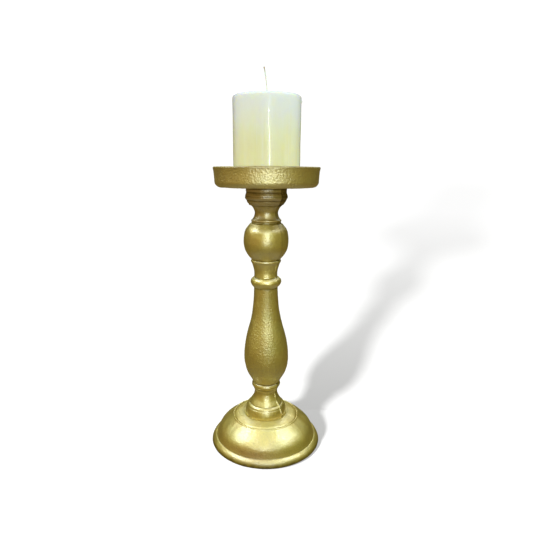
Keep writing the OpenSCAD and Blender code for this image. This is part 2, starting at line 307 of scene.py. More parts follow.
def waxed_cotton():
    """Cotton yarn dipped in wax, a little scorched at the tip."""
    yarn_deep = (0.78, 0.76, 0.66, 1)
    yarn_pale = (0.88, 0.87, 0.80, 1)
    scorch = (0.40, 0.25, 0.17, 1)
    made, nodes, shader, place = material("waxed_cotton")
    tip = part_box("candle_wick")[1][2]
    height = nodes.parts(place)[2]
    yarn = nodes.drawn_noise(place, (4200.0, 4200.0, 1500.0), detail=3.0, rough=0.6)
    tone = nodes.mix(yarn, yarn_deep, yarn_pale)
    scorched = nodes.band(height, tip - 7.5 * MM, tip - 1.5 * MM)
    looks = {
        "Base Color": nodes.mix(nodes.math("MULTIPLY", scorched, 0.5), tone, scorch),
        "Roughness": 0.6,
        "Subsurface Weight": 0.3,
        "Subsurface Scale": 0.0008,
        "Normal": nodes.bump(yarn, distance=0.00012, strength=0.7),
    }
    nodes.feed_all(shader, looks)
    return made


GOLD = antique_gold()
STEEL = bright_steel()
FELT = black_felt()
WAX = pillar_wax()
COTTON = waxed_cotton()


# ---------------------------------------------------------------- outlines read from the CAD
GRID = 1e-5
ON_SECTION = 1e-6
AXIS_SLACK = 1e-7
TINY = 1e-12
STRAIGHT_WITHIN = 0.004
CORNER_TURN = 38.0
LONG_SPAN = 3
FILLET_SHARE = 0.45
INSIDE_BY = 0.02 * MM


def section_loop(node):
    """The outer loop of a turned node's section, as points [radius, height] with the outside going up."""
    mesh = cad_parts[node].data
    links = {}
    for edge in mesh.edges:
        ends = [mesh.vertices[index].co for index in edge.vertices]
        if all(abs(co.y) < ON_SECTION and co.x > -AXIS_SLACK for co in ends):
            a, b = [(round(co.x / GRID), round(co.z / GRID)) for co in ends]
            if a != b:
                links.setdefault(a, set()).add(b)
                links.setdefault(b, set()).add(a)
    left = set(links)
    best = []
    while left:
        ends = [key for key in left if len(links[key]) == 1]
        here = max(ends or left)
        loop = [here]
        left.discard(here)
        ahead = [key for key in links[here] if key in left]
        while ahead:
            here = ahead[0]
            left.discard(here)
            loop.append(here)
            ahead = [key for key in links[here] if key in left]
        if not best or max(loop) > max(best):
            best = loop
    points = np.array(best, dtype=float) * GRID
    around = np.roll(points, -1, axis=0)
    area = np.sum(points[:, 0] * around[:, 1] - around[:, 0] * points[:, 1])
    return points if area > 0 else points[::-1]


def unit(v):
    return v / max(np.linalg.norm(v), TINY)


def straight_ones_out(points):
    """Drops points that lie on the straight line between their neighbours."""
    kept = []
    count = len(points)
    for i in range(count):
        before = unit(points[i] - points[i - 1])
        after = unit(points[(i + 1) % count] - points[i])
        if abs(before[0] * after[1] - before[1] * after[0]) > STRAIGHT_WITHIN:
            kept.append(points[i])
    return np.array(kept)


def steadied(points):
    """Adds a point beside each end of a long straight stretch, so that curves next to it don't sway it."""
    spans = np.linalg.norm(np.diff(points, axis=0), axis=1)
    made = [points[0]]
    for i, span in enumerate(spans):
        way = (points[i + 1] - points[i]) / span
        if i > 0 and span > LONG_SPAN * spans[i - 1]:
            made.append(points[i] + way * spans[i - 1])
        if i + 1 < len(spans) and span > LONG_SPAN * spans[i + 1]:
            made.append(points[i + 1] - way * spans[i + 1])
        made.append(points[i + 1])
    return np.array(made)


def smooth_run(points, step):
    """A smooth curve through points, sampled about every step, or every three on a straight line."""
    points = steadied(points)
    count = len(points)
    if count < 3:
        length = np.linalg.norm(points[1] - points[0])
        cuts = max(1, int(round(length / (step * LONG_SPAN))))
        return [points[0] + (points[1] - points[0]) * i / cuts for i in range(cuts + 1)]
    spans = np.linalg.norm(np.diff(points, axis=0), axis=1)
    slopes = np.diff(points, axis=0) / spans[:, None]
    tangents = np.zeros_like(points)
    for i in range(1, count - 1):
        a, b = spans[i - 1], spans[i]
        tangents[i] = (slopes[i - 1] * b + slopes[i] * a) / (a + b)
    tangents[0] = 1.5 * slopes[0] - 0.5 * tangents[1]
    tangents[-1] = 1.5 * slopes[-1] - 0.5 * tangents[-2]
    made = [points[0]]
    for i in range(count - 1):
        cuts = max(1, int(round(spans[i] / step)))
        for k in range(1, cuts + 1):
            t = k / cuts
            made.append(
                points[i] * (2 * t**3 - 3 * t**2 + 1)
                + tangents[i] * spans[i] * (t**3 - 2 * t**2 + t)
                + points[i + 1] * (3 * t**2 - 2 * t**3)
                + tangents[i + 1] * spans[i] * (t**3 - t**2)
            )
    return made


def refined(points, step, fillet):
    """The loop with smooth runs between its corners, and each corner rounded."""
    points = straight_ones_out(points)
    count = len(points)
    corner = []
    for i in range(count):
        before = unit(points[i] - points[i - 1])
        after = unit(points[(i + 1) % count] - points[i])
        turn = math.degrees(math.acos(max(-1.0, min(1.0, float(before @ after)))))
        corner.append(turn > CORNER_TURN)
    first = corner.index(True)
    order = [(first + i) % count for i in range(count)] + [first]
    runs = []
    run = [points[order[0]]]
    for index in order[1:]:
        run.append(points[index])
        if corner[index]:
            runs.append(smooth_run(np.array(run), step))
            run = [points[index]]
    loop = []
    for k, run in enumerate(runs):
        loop += rounded(runs[k - 1], run, fillet)
        loop += run[1:-1]
    return np.array(loop)


def rounded(before, after, fillet):
    """A small round at the corner between two runs, as points of a quadratic curve."""
    corner = after[0]
    back = np.array(before[-2]) - corner
    ahead = np.array(after[1]) - corner
    a = corner + unit(back) * min(fillet, FILLET_SHARE * np.linalg.norm(back))
    b = corner + unit(ahead) * min(fillet, FILLET_SHARE * np.linalg.norm(ahead))
    return [a * (1 - t) ** 2 + corner * 2 * t * (1 - t) + b * t**2 for t in (0.0, 0.25, 0.5, 0.75, 1.0)]


def outside_mask(loop):
    """1 where a point is the outermost of the loop at its height, and 0 elsewhere."""
    ahead = np.roll(loop, -1, axis=0)
    low = np.minimum(loop[:, 1], ahead[:, 1])
    high = np.maximum(loop[:, 1], ahead[:, 1])
    rise = np.where(high > low, ahead[:, 1] - loop[:, 1], 1.0)
    mask = np.ones(len(loop))
    for i, (radius, height) in enumerate(loop):
        across = loop[:, 0] + (ahead[:, 0] - loop[:, 0]) * (height - loop[:, 1]) / rise
        if np.any((low < height) & (height < high) & (across > radius + INSIDE_BY)):
            mask[i] = 0.0
    return mask


def loop_normals(loop):
    along = np.roll(loop, -1, axis=0) - np.roll(loop, 1, axis=0)
    normals = np.stack([along[:, 1], -along[:, 0]], axis=1)
    return normals / np.maximum(np.linalg.norm(normals, axis=1), TINY)[:, None]


def hollowness(loop, reach):
    """How far each point lies inside the chord that spans reach either way: hollows are positive."""
    ahead = np.roll(loop, -1, axis=0)
    steps = np.linalg.norm(ahead - loop, axis=1)
    total = steps.sum()
    where = np.concatenate([[0], np.cumsum(steps)[:-1]])
    circle = np.concatenate([where - total, where, where + total])
    radii = np.tile(loop[:, 0], 3)
    heights = np.tile(loop[:, 1], 3)
    normals = loop_normals(loop)
    value = np.zeros(len(loop))
    for side in (-1, 1):
        r = np.interp(where + side * reach, circle, radii)
        z = np.interp(where + side * reach, circle, heights)
        value += ((r - loop[:, 0]) * normals[:, 0] + (z - loop[:, 1]) * normals[:, 1]) / 2
    return value / reach


# ---------------------------------------------------------------- relief of the castings
# Relief is in millimetres along the outline's normals. Fields for the paint run from 0 to 1.
RIPPLE_WAVES = 48
SHORTEST_WAVE = 0.75
LONGEST_WAVE = 1.35


def ripple(angle, along, radius, wavelength, seed, waves=RIPPLE_WAVES):
    """Smooth random relief, about -1 to 1, that closes on itself round the axis."""
    chance = np.random.default_rng(seed)
    total = np.zeros(np.broadcast(angle, along).shape)
    for _ in range(waves):
        heading = chance.uniform(0, FULL_TURN)
        number = FULL_TURN / (wavelength * chance.uniform(SHORTEST_WAVE, LONGEST_WAVE))
        phase = chance.uniform(0, FULL_TURN)
        turns = round(number * math.cos(heading) * radius)
        total += np.cos(turns * angle + number * math.sin(heading) * along + phase)
    return total / math.sqrt(waves)


def angle_gap(angle, to):
    return (angle - to + math.pi) % FULL_TURN - math.pi


def smoothstep(low, high, value):
    t = np.clip((value - low) / (high - low), 0, 1)
    return t * t * (3 - 2 * t)


def bell(value, width):
    """1 where value is 0, falling off smoothly on both sides over about width."""
    return np.exp(-((value / width) ** 2))


FINE_ANGLES = 7201
SEAM_CROWDING = 2.6
SEAM_SPAN = math.radians(6.0)


def spread_angles(count, seam):
    """Angles round the axis, closer together at the two parting lines."""
    fine = np.linspace(0, FULL_TURN, FINE_ANGLES)
    weight = np.ones_like(fine)
    for centre in (seam, seam + math.pi):
        weight += SEAM_CROWDING * bell(angle_gap(fine, centre), SEAM_SPAN)
    steps = np.concatenate([[0], np.cumsum((weight[1:] + weight[:-1]) / 2)])
    places = np.arange(count) * steps[-1] / count
    return np.interp(places, steps, fine)


# How far the stack stands off its axis: pairs of height in metres and shift in millimetres.
STEM_LEAN = (
    (0.0, 0.0),
    (0.04, 0.0),
    (0.065, 0.55),
    (0.10, 0.75),
    (0.15, 0.1),
    (0.20, -0.3),
    (0.26, -0.25),
    (0.30, 0.0),
    (0.46, 0.0),
)


def lean(height):
    """How far the stack wanders sideways off its axis, from the play in its register spigots."""
    heights, shifts = zip(*STEM_LEAN)
    return np.interp(height, heights, shifts) * MM


def new_mesh(name, verts, faces):
    mesh = bpy.data.meshes.new(name)
    mesh.from_pydata(verts, [], faces)
    mesh.update()
    return mesh


def link(name, mesh, finish, body, nodes):
    piece = bpy.data.objects.new(name, mesh)
    bpy.context.scene.collection.objects.link(piece)
    mesh.materials.append(finish)
    mesh.polygons.foreach_set("use_smooth", [True] * len(mesh.polygons))
    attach(piece, body)
    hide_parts(*nodes)
    return piece


def grid_faces(rows, columns, offset=0, closed_rows=True):
    """Quads between rows of points, each row closed round the axis."""
    faces = []
    last = rows if closed_rows else rows - 1
    for i in range(last):
        for j in range(columns):
            a = i * columns + j
            b = i * columns + (j + 1) % columns
            c = ((i + 1) % rows) * columns + (j + 1) % columns
            d = ((i + 1) % rows) * columns + j
            faces.append((offset + a, offset + b, offset + c, offset + d))
    return faces


def end_fans(count, first, last, low_point, high_point):
    """Triangles that close the first and the last ring of a grid, each round a middle point."""
    faces = []
    for k in range(count):
        after = (k + 1) % count
        faces.append((low_point, first + after, first + k))
        faces.append((high_point, last + k, last + after))
    return faces


HOLLOW_REACH = 1.6 * MM
LUMP_SIZES = ((26 * MM, 0.6), (9 * MM, 0.22))
HAMMER_CLUSTER = 22 * MM
HAMMER_MARK = 3.4 * MM
HAMMER_WAVES = 90
HAMMER_EVENNESS = 0.35
RIDGE_WIDTH = 0.75 * MM
RIDGE_WANDER = 11 * MM
RIDGE_MEAN = 0.55
RIDGE_SWING = 0.45
RIDGE_LIMITS = (0.1, 1.6)
STEP_STARTS = 0.3 * MM
STEP_ENDS = 1.5 * MM
STEP_FADE = 9 * MM
END_ROOM = 0.9 * MM
END_RELIEF = 0.25
# Painted shade at joints and in hollows, mixed with soiling: its reach, threshold and limits, and how much
# less raised relief gets.
JOINT_SHADE_REACH = 1.1 * MM
UNSHADED_HOLLOW = 0.08
HOLLOW_SHADE_MOST = 0.75
SHADE_AND_DIRT_MOST = 0.95
RUBBED_AND_LIT_PER_MM = 0.72
# Where the painted shade past the parting line starts and ends, in radians from it.
FAR_SIDE_STARTS = (0.0, 0.06)
FAR_SIDE_ENDS = (0.6, 1.5)
# Both parting lines: angle from the first, the side on which the mould half sat lower, and strength.
SEAM_SIDES = ((0.0, 1, 1.0), (math.pi, -1, 0.7))


def parting_line(angle, height, radius, reach, seam, flash, offset_half, seed):
    """A ridge of flash on both parting lines, and beside it the half of the mould that sat lower."""
    wander = ripple(angle * 0 + seam, height, reach, RIDGE_WANDER, seed)
    uneven = np.clip(RIDGE_MEAN + RIDGE_SWING * wander, *RIDGE_LIMITS)
    total = 0 * (angle + height)
    for turn, side, strength in SEAM_SIDES:
        gap = angle_gap(angle, seam + turn) * radius
        past = smoothstep(STEP_STARTS, STEP_ENDS, gap * side) * np.exp(-np.abs(gap) / STEP_FADE)
        total += strength * (flash * uneven * bell(gap, RIDGE_WIDTH) - offset_half * past)
    return total


def turned_piece(
    node,
    name,
    step=0.7,
    around=288,
    fillet=0.25,
    seam=-41.0,
    flash=0.22,
    offset_half=0.18,
    lumps=0.10,
    hammer=0.0,
    peel=0.3,
    brown=0.0,
    joint_shade=0.9,
    hollows=2.4,
    far_side_shade=0.0,
    relief=None,
    darkening=None,
    finish=GOLD,
    body="candlestick",
    seed=1,
):
    """Turns a node's outline into a cast piece and gives it its relief and its fields for the paint.

    step and fillet are in millimetres, seam is in degrees, and the far-side amount paints shade on what
    lies past it.
    """
    loop = refined(section_loop(node), step * MM, fillet * MM)
    mask = outside_mask(loop)[:, None]
    normals = loop_normals(loop)
    hollow = hollowness(loop, HOLLOW_REACH)[:, None]
    low, high = loop[:, 1].min(), loop[:, 1].max()
    seam_angle = math.radians(seam)
    angle = spread_angles(around, seam_angle)[None, :]
    radius = loop[:, 0][:, None]
    height = loop[:, 1][:, None]
    reach = float(loop[:, 0].max())
    move = np.zeros((len(loop), around))
    if lumps:
        for k, (size, share) in enumerate(LUMP_SIZES):
            move += lumps * ripple(angle, height, reach, size, seed + k) * share
    if hammer:
        cluster = smoothstep(-0.2, 0.9, ripple(angle, height, reach, HAMMER_CLUSTER, seed + 2))
        marks = ripple(angle, height, reach, HAMMER_MARK, seed + 3, HAMMER_WAVES)
        move += hammer * (HAMMER_EVENNESS + (1 - HAMMER_EVENNESS) * cluster) * marks
    if flash:
        move += parting_line(angle, height, radius, reach, seam_angle, flash, offset_half, seed + 4)
    if relief is not None:
        move += relief(angle, height, radius)
    ends = smoothstep(0, END_ROOM, height - low) * smoothstep(0, END_ROOM, high - height)
    move = move * MM * mask * (END_RELIEF + (1 - END_RELIEF) * ends)
    r = radius + normals[:, 0][:, None] * move
    z = np.clip(height + normals[:, 1][:, None] * move, low, high)
    x = r * np.cos(angle) + lean(height) * mask
    y = r * np.sin(angle)
    verts = np.stack([x, y, z], axis=2).reshape(-1, 3)
    mesh = new_mesh(name, verts.tolist(), grid_faces(len(loop), around))
    # Painted shade in the hollows and at both ends where the pieces meet, plus each piece's own painted
    # shade and soiling, less of it on raised relief.
    joint = np.exp(-(height - low) / JOINT_SHADE_REACH) + np.exp(-(high - height) / JOINT_SHADE_REACH)
    grime = np.clip(hollow * hollows - UNSHADED_HOLLOW, 0, HOLLOW_SHADE_MOST) + joint_shade * joint * mask
    if darkening is not None:
        shade_and_dirt, browner = darkening(angle, height, radius)
        grime = grime + shade_and_dirt * mask
        brown = brown + browner
    # Painted shade on the half of the casting past the parting line.
    past = angle_gap(angle, seam_angle)
    beyond = smoothstep(*FAR_SIDE_STARTS, past) * (1 - smoothstep(*FAR_SIDE_ENDS, past))
    grime = grime + far_side_shade * beyond * mask
    grime = np.clip(grime - RUBBED_AND_LIT_PER_MM * move / MM, 0, SHADE_AND_DIRT_MOST)
    fields = {"grime": grime, "peel": peel, "brown": brown}
    for key, values in fields.items():
        made = mesh.attributes.new(key, "FLOAT", "POINT")
        made.data.foreach_set("value", np.broadcast_to(values, move.shape).astype(np.float32).ravel())
    return link(name, mesh, finish, body, [node])


# ---------------------------------------------------------------- marks of each casting
# Angles are in degrees round the axis: -90 is the front, 0 the right.
STEM_SEAM = -41.0
BALL_SEAM = -49.0
SPOOL_SEAM = -46.0
CUP_WEAR_ANGLE = -48.0
NICK_ANGLE = -97.0
SPECKLED_ANGLE = -102.0
SPECKLED_SPAN = 26.0
# Bands turned round the cup: share of its height, depth in millimetres, and width as a share of its height.
CUP_BAND_MARKS = (
    (0.20, 0.34, 0.030),
    (0.36, 0.46, 0.036),
    (0.56, 0.36, 0.030),
    (0.76, 0.42, 0.034),
    (0.92, 0.30, 0.030),
)
# Dark lines round the cup: share of its height, width as a share of its height, and strength. The top one
# is painted shadow beneath the pan, the lowest is painted shade at the cup's foot, and the others darken
# its grooves.
CUP_DARK_LINES = (
    (0.06, 0.07, 0.45),
    (0.36, 0.03, 0.4),
    (0.56, 0.025, 0.3),
    (0.76, 0.03, 0.4),
    (0.95, 0.05, 0.5),
)


def share_of_height(node, height):
    low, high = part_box(node)
    return (height - low[2]) / (high[2] - low[2])


def cup_bands(angle, height, radius):
    """Shallow, uneven turned bands round the cup, worn away beside the parting line."""
    level = share_of_height("cup", height)
    wander = 0.018 * np.sin(angle * 2 + 0.6) + 0.012 * np.sin(angle * 5 + 2.0)
    total = 0 * (angle + height)
    for at, deep, wide in CUP_BAND_MARKS:
        total -= deep * bell(level - at - wander * (1.5 - at), wide)
    gap = angle_gap(angle, math.radians(CUP_WEAR_ANGLE))
    worn = smoothstep(0.0, 0.04, gap) * (1 - smoothstep(1.2, 2.0, gap))
    dent = smoothstep(0.0, 0.05, gap) * (1 - smoothstep(0.5, 1.6, gap))
    return total * (1.0 - 0.9 * worn) - 0.5 * dent


def cup_stain_and_shade(angle, height, radius):
    """A rusty brown tone, with painted shadow beneath the pan, painted shade at the foot of the cup and
    darker lines along its grooves.
    """
    level = share_of_height("cup", height)
    shade_and_dirt = 0.08 + 0 * (angle + height)
    for at, wide, strength in CUP_DARK_LINES:
        shade_and_dirt = shade_and_dirt + strength * bell(level - at, wide)
    return shade_and_dirt, 0.35


def stem_ring_groove(angle, height, radius):
    """The fine groove on the stem foot's lower step."""
    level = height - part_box("stem_foot")[0][2]
    return -0.45 * bell(level - 14.05 * MM, 0.5 * MM)


def collar_gap(angle, height, radius):
    """An open gap beside the parting line, where the two castings never met."""
    gap = angle_gap(angle, math.radians(STEM_SEAM)) * radius
    return -2.0 * bell(gap - 0.5 * MM, 0.55 * MM)


def foot_shade_and_patch(angle, height, radius):
    """A dark joint round the stem with painted shade spreading from it, painted shade beneath the lip, and
    a browner patch low on the front of the dome.
    """
    away = np.maximum(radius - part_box("stem_foot")[1][0], 0)
    # A dark joint line round the stem, and painted shade spreading out from it over the dome.
    joint_and_shade = 0.95 * bell(away, 1.6 * MM) + 0.42 * bell(away, 7 * MM)
    on_top = smoothstep(20 * MM, 25 * MM, height)
    # Painted shade on the lowest part of the lip, where it turns beneath.
    under = 0.95 * (1 - smoothstep(3.2 * MM, 8.4 * MM, height))
    gap = angle_gap(angle, math.radians(SPECKLED_ANGLE))
    patch = bell(gap, math.radians(SPECKLED_SPAN)) * bell(height - 13 * MM, 6 * MM)
    return joint_and_shade * on_top + under, 1.2 * patch


def foot_marks(angle, height, radius):
    """A small nick in the lip, low at the front."""
    gap = angle_gap(angle, math.radians(NICK_ANGLE)) * radius
    return -0.5 * bell(gap, 1.1 * MM) * bell(height - 7.6 * MM, 0.9 * MM)


turned_piece(
    "foot_dome",
    "foot",
    step=0.8,
    around=512,
    seam=STEM_SEAM,
    flash=0.0,
    lumps=0.16,
    peel=0.26,
    joint_shade=0.0,
    hollows=1.4,
    relief=foot_marks,
    darkening=foot_shade_and_patch,
    seed=11,
)
turned_piece(
    "stem_foot",
    "stem_foot",
    flash=2.1,
    offset_half=0.8,
    lumps=0.14,
    peel=0.25,
    relief=stem_ring_groove,
    seed=12,
)
turned_piece(
    "lower_collar",
    "lower_collar",
    flash=0.5,
    offset_half=0.9,
    lumps=0.16,
    peel=0.2,
    relief=collar_gap,
    seed=13,
)
PEAR = turned_piece(
    "pear_baluster",
    "pear_baluster",
    flash=0.06,
    offset_half=0.08,
    lumps=0.10,
    hammer=0.035,
    peel=0.6,
    seed=14,
)
BEAD = turned_piece(
    "bead_ring",
    "bead_ring",
    flash=0.15,
    offset_half=0.2,
    lumps=0.18,
    peel=0.25,
    seed=15,
)
NECK = turned_piece(
    "neck",
    "neck",
    flash=0.7,
    offset_half=0.5,
    lumps=0.10,
    peel=0.3,
    brown=0.15,
    seed=16,
)
turned_piece(
    "ball_knop",
    "ball_knop",
    seam=BALL_SEAM,
    flash=0.12,
    offset_half=0.4,
    lumps=0.16,
    peel=0.14,
    brown=0.1,
    far_side_shade=0.12,
    seed=17,
)
turned_piece(
    "upper_spool",
    "upper_spool",
    seam=SPOOL_SEAM,
    flash=0.1,
    offset_half=0.2,
    lumps=0.1,
    peel=0.3,
    brown=0.55,
    far_side_shade=0.25,
    seed=18,
)
turned_piece(
    "cup",
    "cup",
    step=0.5,
    seam=BALL_SEAM,
    flash=0.12,
    offset_half=0.2,
    lumps=0.12,
    peel=0.4,
    brown=0.7,
    far_side_shade=0.28,
    relief=cup_bands,
    darkening=cup_stain_and_shade,
    seed=19,
)
PAN = turned_piece(
    "drip_pan",
    "drip_pan",
    around=576,
    flash=0.0,
    lumps=0.12,
    hammer=0.09,
    peel=0.7,
    brown=0.4,
    seed=20,
)
for seed, node in ((21, "pricket"), (22, "flat_washer")):
    turned_piece(
        node,
        node,
        around=96,
        fillet=0.2,
        flash=0.0,
        lumps=0.0,
        finish=STEEL,
        seed=seed,
    )
for node in ("hex_nut", "spring_washer"):
    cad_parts[node].material_slots[0].material = STEEL


# ---------------------------------------------------------------- candle
WAX_RADIUS = 38 * MM
STREAK_DRAW = 0.06
STREAK_WAVES = 70
BLOB_ANGLE = -8.0


def candle_relief(angle, height, radius):
    """Long drawn streaks, a soft unevenness and a blob of wax near the top on the right."""
    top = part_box("candle_wax")[1][2]
    streak = ripple(angle, height * STREAK_DRAW, WAX_RADIUS, 2.6 * MM, 31, STREAK_WAVES)
    waist = ripple(angle, height, WAX_RADIUS, 40 * MM, 32)
    gap = angle_gap(angle, math.radians(BLOB_ANGLE)) * radius
    blob = bell(gap, 1.7 * MM) * bell(height - (top - 7.0 * MM), 1.2 * MM)
    crest = smoothstep(top - 9 * MM, top - 1 * MM, height)
    dimples = crest * ripple(angle, height, WAX_RADIUS, 6 * MM, 33)
    return 0.012 * streak + 0.10 * waist + 1.3 * blob + 0.10 * dimples


turned_piece(
    "candle_wax",
    "candle",
    step=1.0,
    around=480,
    fillet=0.3,
    flash=0.0,
    lumps=0.0,
    relief=candle_relief,
    finish=WAX,
    body="candle",
    seed=30,
)


def tube(path, radius, sides, taper):
    """A closed tube along path, as vertices and faces."""
    path = [Vector(p) for p in path]
    verts = []
    side = Vector((0, 1, 0))
    for i, p in enumerate(path):
        tangent = (path[min(i + 1, len(path) - 1)] - path[max(i - 1, 0)]).normalized()
        side = (side - tangent * side.dot(tangent)).normalized()
        other = tangent.cross(side)
        for k in range(sides):
            a = FULL_TURN * k / sides
            verts.append(p + (side * math.cos(a) + other * math.sin(a)) * radius * taper[i])
    verts += [path[0], path[-1]]
    last = (len(path) - 1) * sides
    faces = grid_faces(len(path), sides, closed_rows=False)
    faces += end_fans(sides, 0, last, len(verts) - 2, len(verts) - 1)
    return verts, faces


STRAND_RADIUS = 0.40 * MM
STRAND_PITCH = 5.0 * MM
STRAND_SIDES = 10
STRAND_POINTS = 260
STRAND_SPREAD = 1.05
WICK_FREE_BELOW_TOP = 0.6 * MM


def wick():
    """Three twisted strands of cotton that leave the wax upright and bend to one side."""
    low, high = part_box("candle_wick")
    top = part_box("candle_wax")[1][2] - WICK_FREE_BELOW_TOP
    rise = high[2] - top
    lean_by = -low[0] - high[0]
    bend = (rise**2 + lean_by**2) / (2 * lean_by)
    start = low[2] + 0.1 * MM
    verts = []
    faces = []
    for k in range(3):
        path = []
        for i in range(STRAND_POINTS):
            z = start + (high[2] - start) * i / (STRAND_POINTS - 1)
            up = max(0.0, z - top)
            x = math.sqrt(max(bend**2 - up**2, 0.0)) - bend
            turn = FULL_TURN * (z / STRAND_PITCH + k / 3)
            frayed = 0.5 * smoothstep(high[2] - 2.2 * MM, high[2], z)
            spread = STRAND_RADIUS * (STRAND_SPREAD + frayed)
            path.append((x + spread * math.cos(turn), spread * math.sin(turn), z))
        taper = [1.0 + 0.08 * math.sin(i * 1.7 + k) for i in range(STRAND_POINTS)]
        made, shape = tube(path, STRAND_RADIUS, STRAND_SIDES, taper)
        faces += [tuple(index + len(verts) for index in face) for face in shape]
        verts += made
    link("wick", new_mesh("wick", verts, faces), COTTON, "candle", ["candle_wick"])


wick()


# ---------------------------------------------------------------- tie rod and pads
THREAD_PITCH = 1.25 * MM
THREAD_LENGTH = 26 * MM
THREAD_DEPTH = 0.62 * MM
THREAD_FLANK = 0.42
THREAD_RUNOUT = 2 * MM
THREAD_ROWS = 0.16 * MM
SHANK_ROWS = 12
ROD_BEVEL = 0.8 * MM
ROD_SIDES = 48


def tie_rod():
    """The rod, with a rolled thread on the end that carries the nut."""
    low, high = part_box("tie_rod")
    thread_end = low[2] + THREAD_LENGTH
    heights = list(np.arange(low[2], thread_end, THREAD_ROWS))
    heights += list(np.linspace(thread_end, high[2], SHANK_ROWS))
    verts = [(0.0, 0.0, low[2])]
    for z in heights:
        fade = min(1.0, max(0.0, (thread_end - z) / THREAD_RUNOUT))
        bevel = max(0.0, ROD_BEVEL - (z - low[2]), ROD_BEVEL - (high[2] - z))
        for k in range(ROD_SIDES):
            a = FULL_TURN * k / ROD_SIDES
            phase = (z / THREAD_PITCH + k / ROD_SIDES) % 1.0
            depth = THREAD_DEPTH * max(0.0, 1 - abs(phase - 0.5) / THREAD_FLANK)
            r = high[0] - max(depth * fade, bevel)
            verts.append((r * math.cos(a), r * math.sin(a), z))
    verts.append((0.0, 0.0, high[2]))
    last = 1 + (len(heights) - 1) * ROD_SIDES
    faces = grid_faces(len(heights), ROD_SIDES, 1, closed_rows=False)
    faces += end_fans(ROD_SIDES, 1, last, 0, len(verts) - 1)
    mesh = new_mesh("tie_rod", verts, faces)
    link("tie_rod_threaded", mesh, STEEL, "candlestick", ["tie_rod"])


PAD_SIDES = 56
PAD_REACH = 0.5
# The pad's rounded edge: pairs of height, as a share of its thickness, and inset, as a share of its radius.
PAD_EDGE = ((0.0, 0.16), (0.08, 0.05), (0.2, 0.0), (0.5, 0.02), (0.8, 0.0), (0.92, 0.06), (1.0, 0.18))


def felt_pads():
    """Four punched felt discs, with soft frayed edges."""
    low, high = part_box("felt_pads")
    tall = high[2] - low[2]
    corners = [v.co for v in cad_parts["felt_pads"].data.vertices]
    verts = []
    faces = []
    for k in range(4):
        heading = math.pi / 4 + k * math.pi / 2
        mine = [c for c in corners if abs(angle_gap(math.atan2(c.y, c.x), heading)) < PAD_REACH]
        left, right = min(c.x for c in mine), max(c.x for c in mine)
        front, back = min(c.y for c in mine), max(c.y for c in mine)
        cx = (left + right) / 2
        cy = (front + back) / 2
        size = (right - left) / 2
        start = len(verts)
        verts.append((cx, cy, low[2]))
        for i, (t, inset) in enumerate(PAD_EDGE):
            for j in range(PAD_SIDES):
                a = FULL_TURN * j / PAD_SIDES
                fray = 1 + 0.012 * math.sin(j * 3.1 + i * 1.3 + k) + 0.010 * math.sin(j * 7.7 + k * 2.0)
                reach = size * min((1 - inset) * fray, 1.0)
                verts.append((cx + reach * math.cos(a), cy + reach * math.sin(a), low[2] + tall * t))
        verts.append((cx, cy, high[2]))
        last = start + 1 + (len(PAD_EDGE) - 1) * PAD_SIDES
        faces += grid_faces(len(PAD_EDGE), PAD_SIDES, start + 1, closed_rows=False)
        faces += end_fans(PAD_SIDES, start + 1, last, start, len(verts) - 1)
    link("pads", new_mesh("pads", verts, faces), FELT, "candlestick", ["felt_pads"])


tie_rod()
felt_pads()


# ---------------------------------------------------------------- floor, backdrop and light
STAGE_REACH = 12.0
FLOOR_SIDES = 64
DOME_SIDES = 64
DOME_ROWS = 16
BOARD_START = 70 * MM
BOARD_LEAN = math.radians(31.0)
BOARD_RUN = 0.75
BOARD_HALF_WIDTH = 2.0
LAMP_AT = (-0.55, -0.65, 0.5235)
LAMP_POWER = 400.0
LAMP_RADIUS = 55 * MM
PAPER_SHARE = 4.0 * math.pi**2 / LAMP_POWER
FLOOR_SHADE = 0.46
BOARD_SHADE = 0.48
PALEST_SHADE = 0.95
PAPER_WHITE = 1.03
DAYLIGHT = (0.87, 1.04, 1.10)
CANDLE_LIGHT = (0.90, 1.00, 1.08)


def stage_piece(name, verts, faces, finish):
    """Part of the stage, which only the camera sees."""
    mesh = bpy.data.meshes.new(name)
    mesh.from_pydata(verts, [], faces)
    mesh.materials.append(finish)
    piece = bpy.data.objects.new(name, mesh)
    bpy.context.scene.collection.objects.link(piece)
    for way in ("visible_glossy", "visible_diffuse", "visible_transmission", "visible_shadow"):
        setattr(piece, way, False)
    return piece


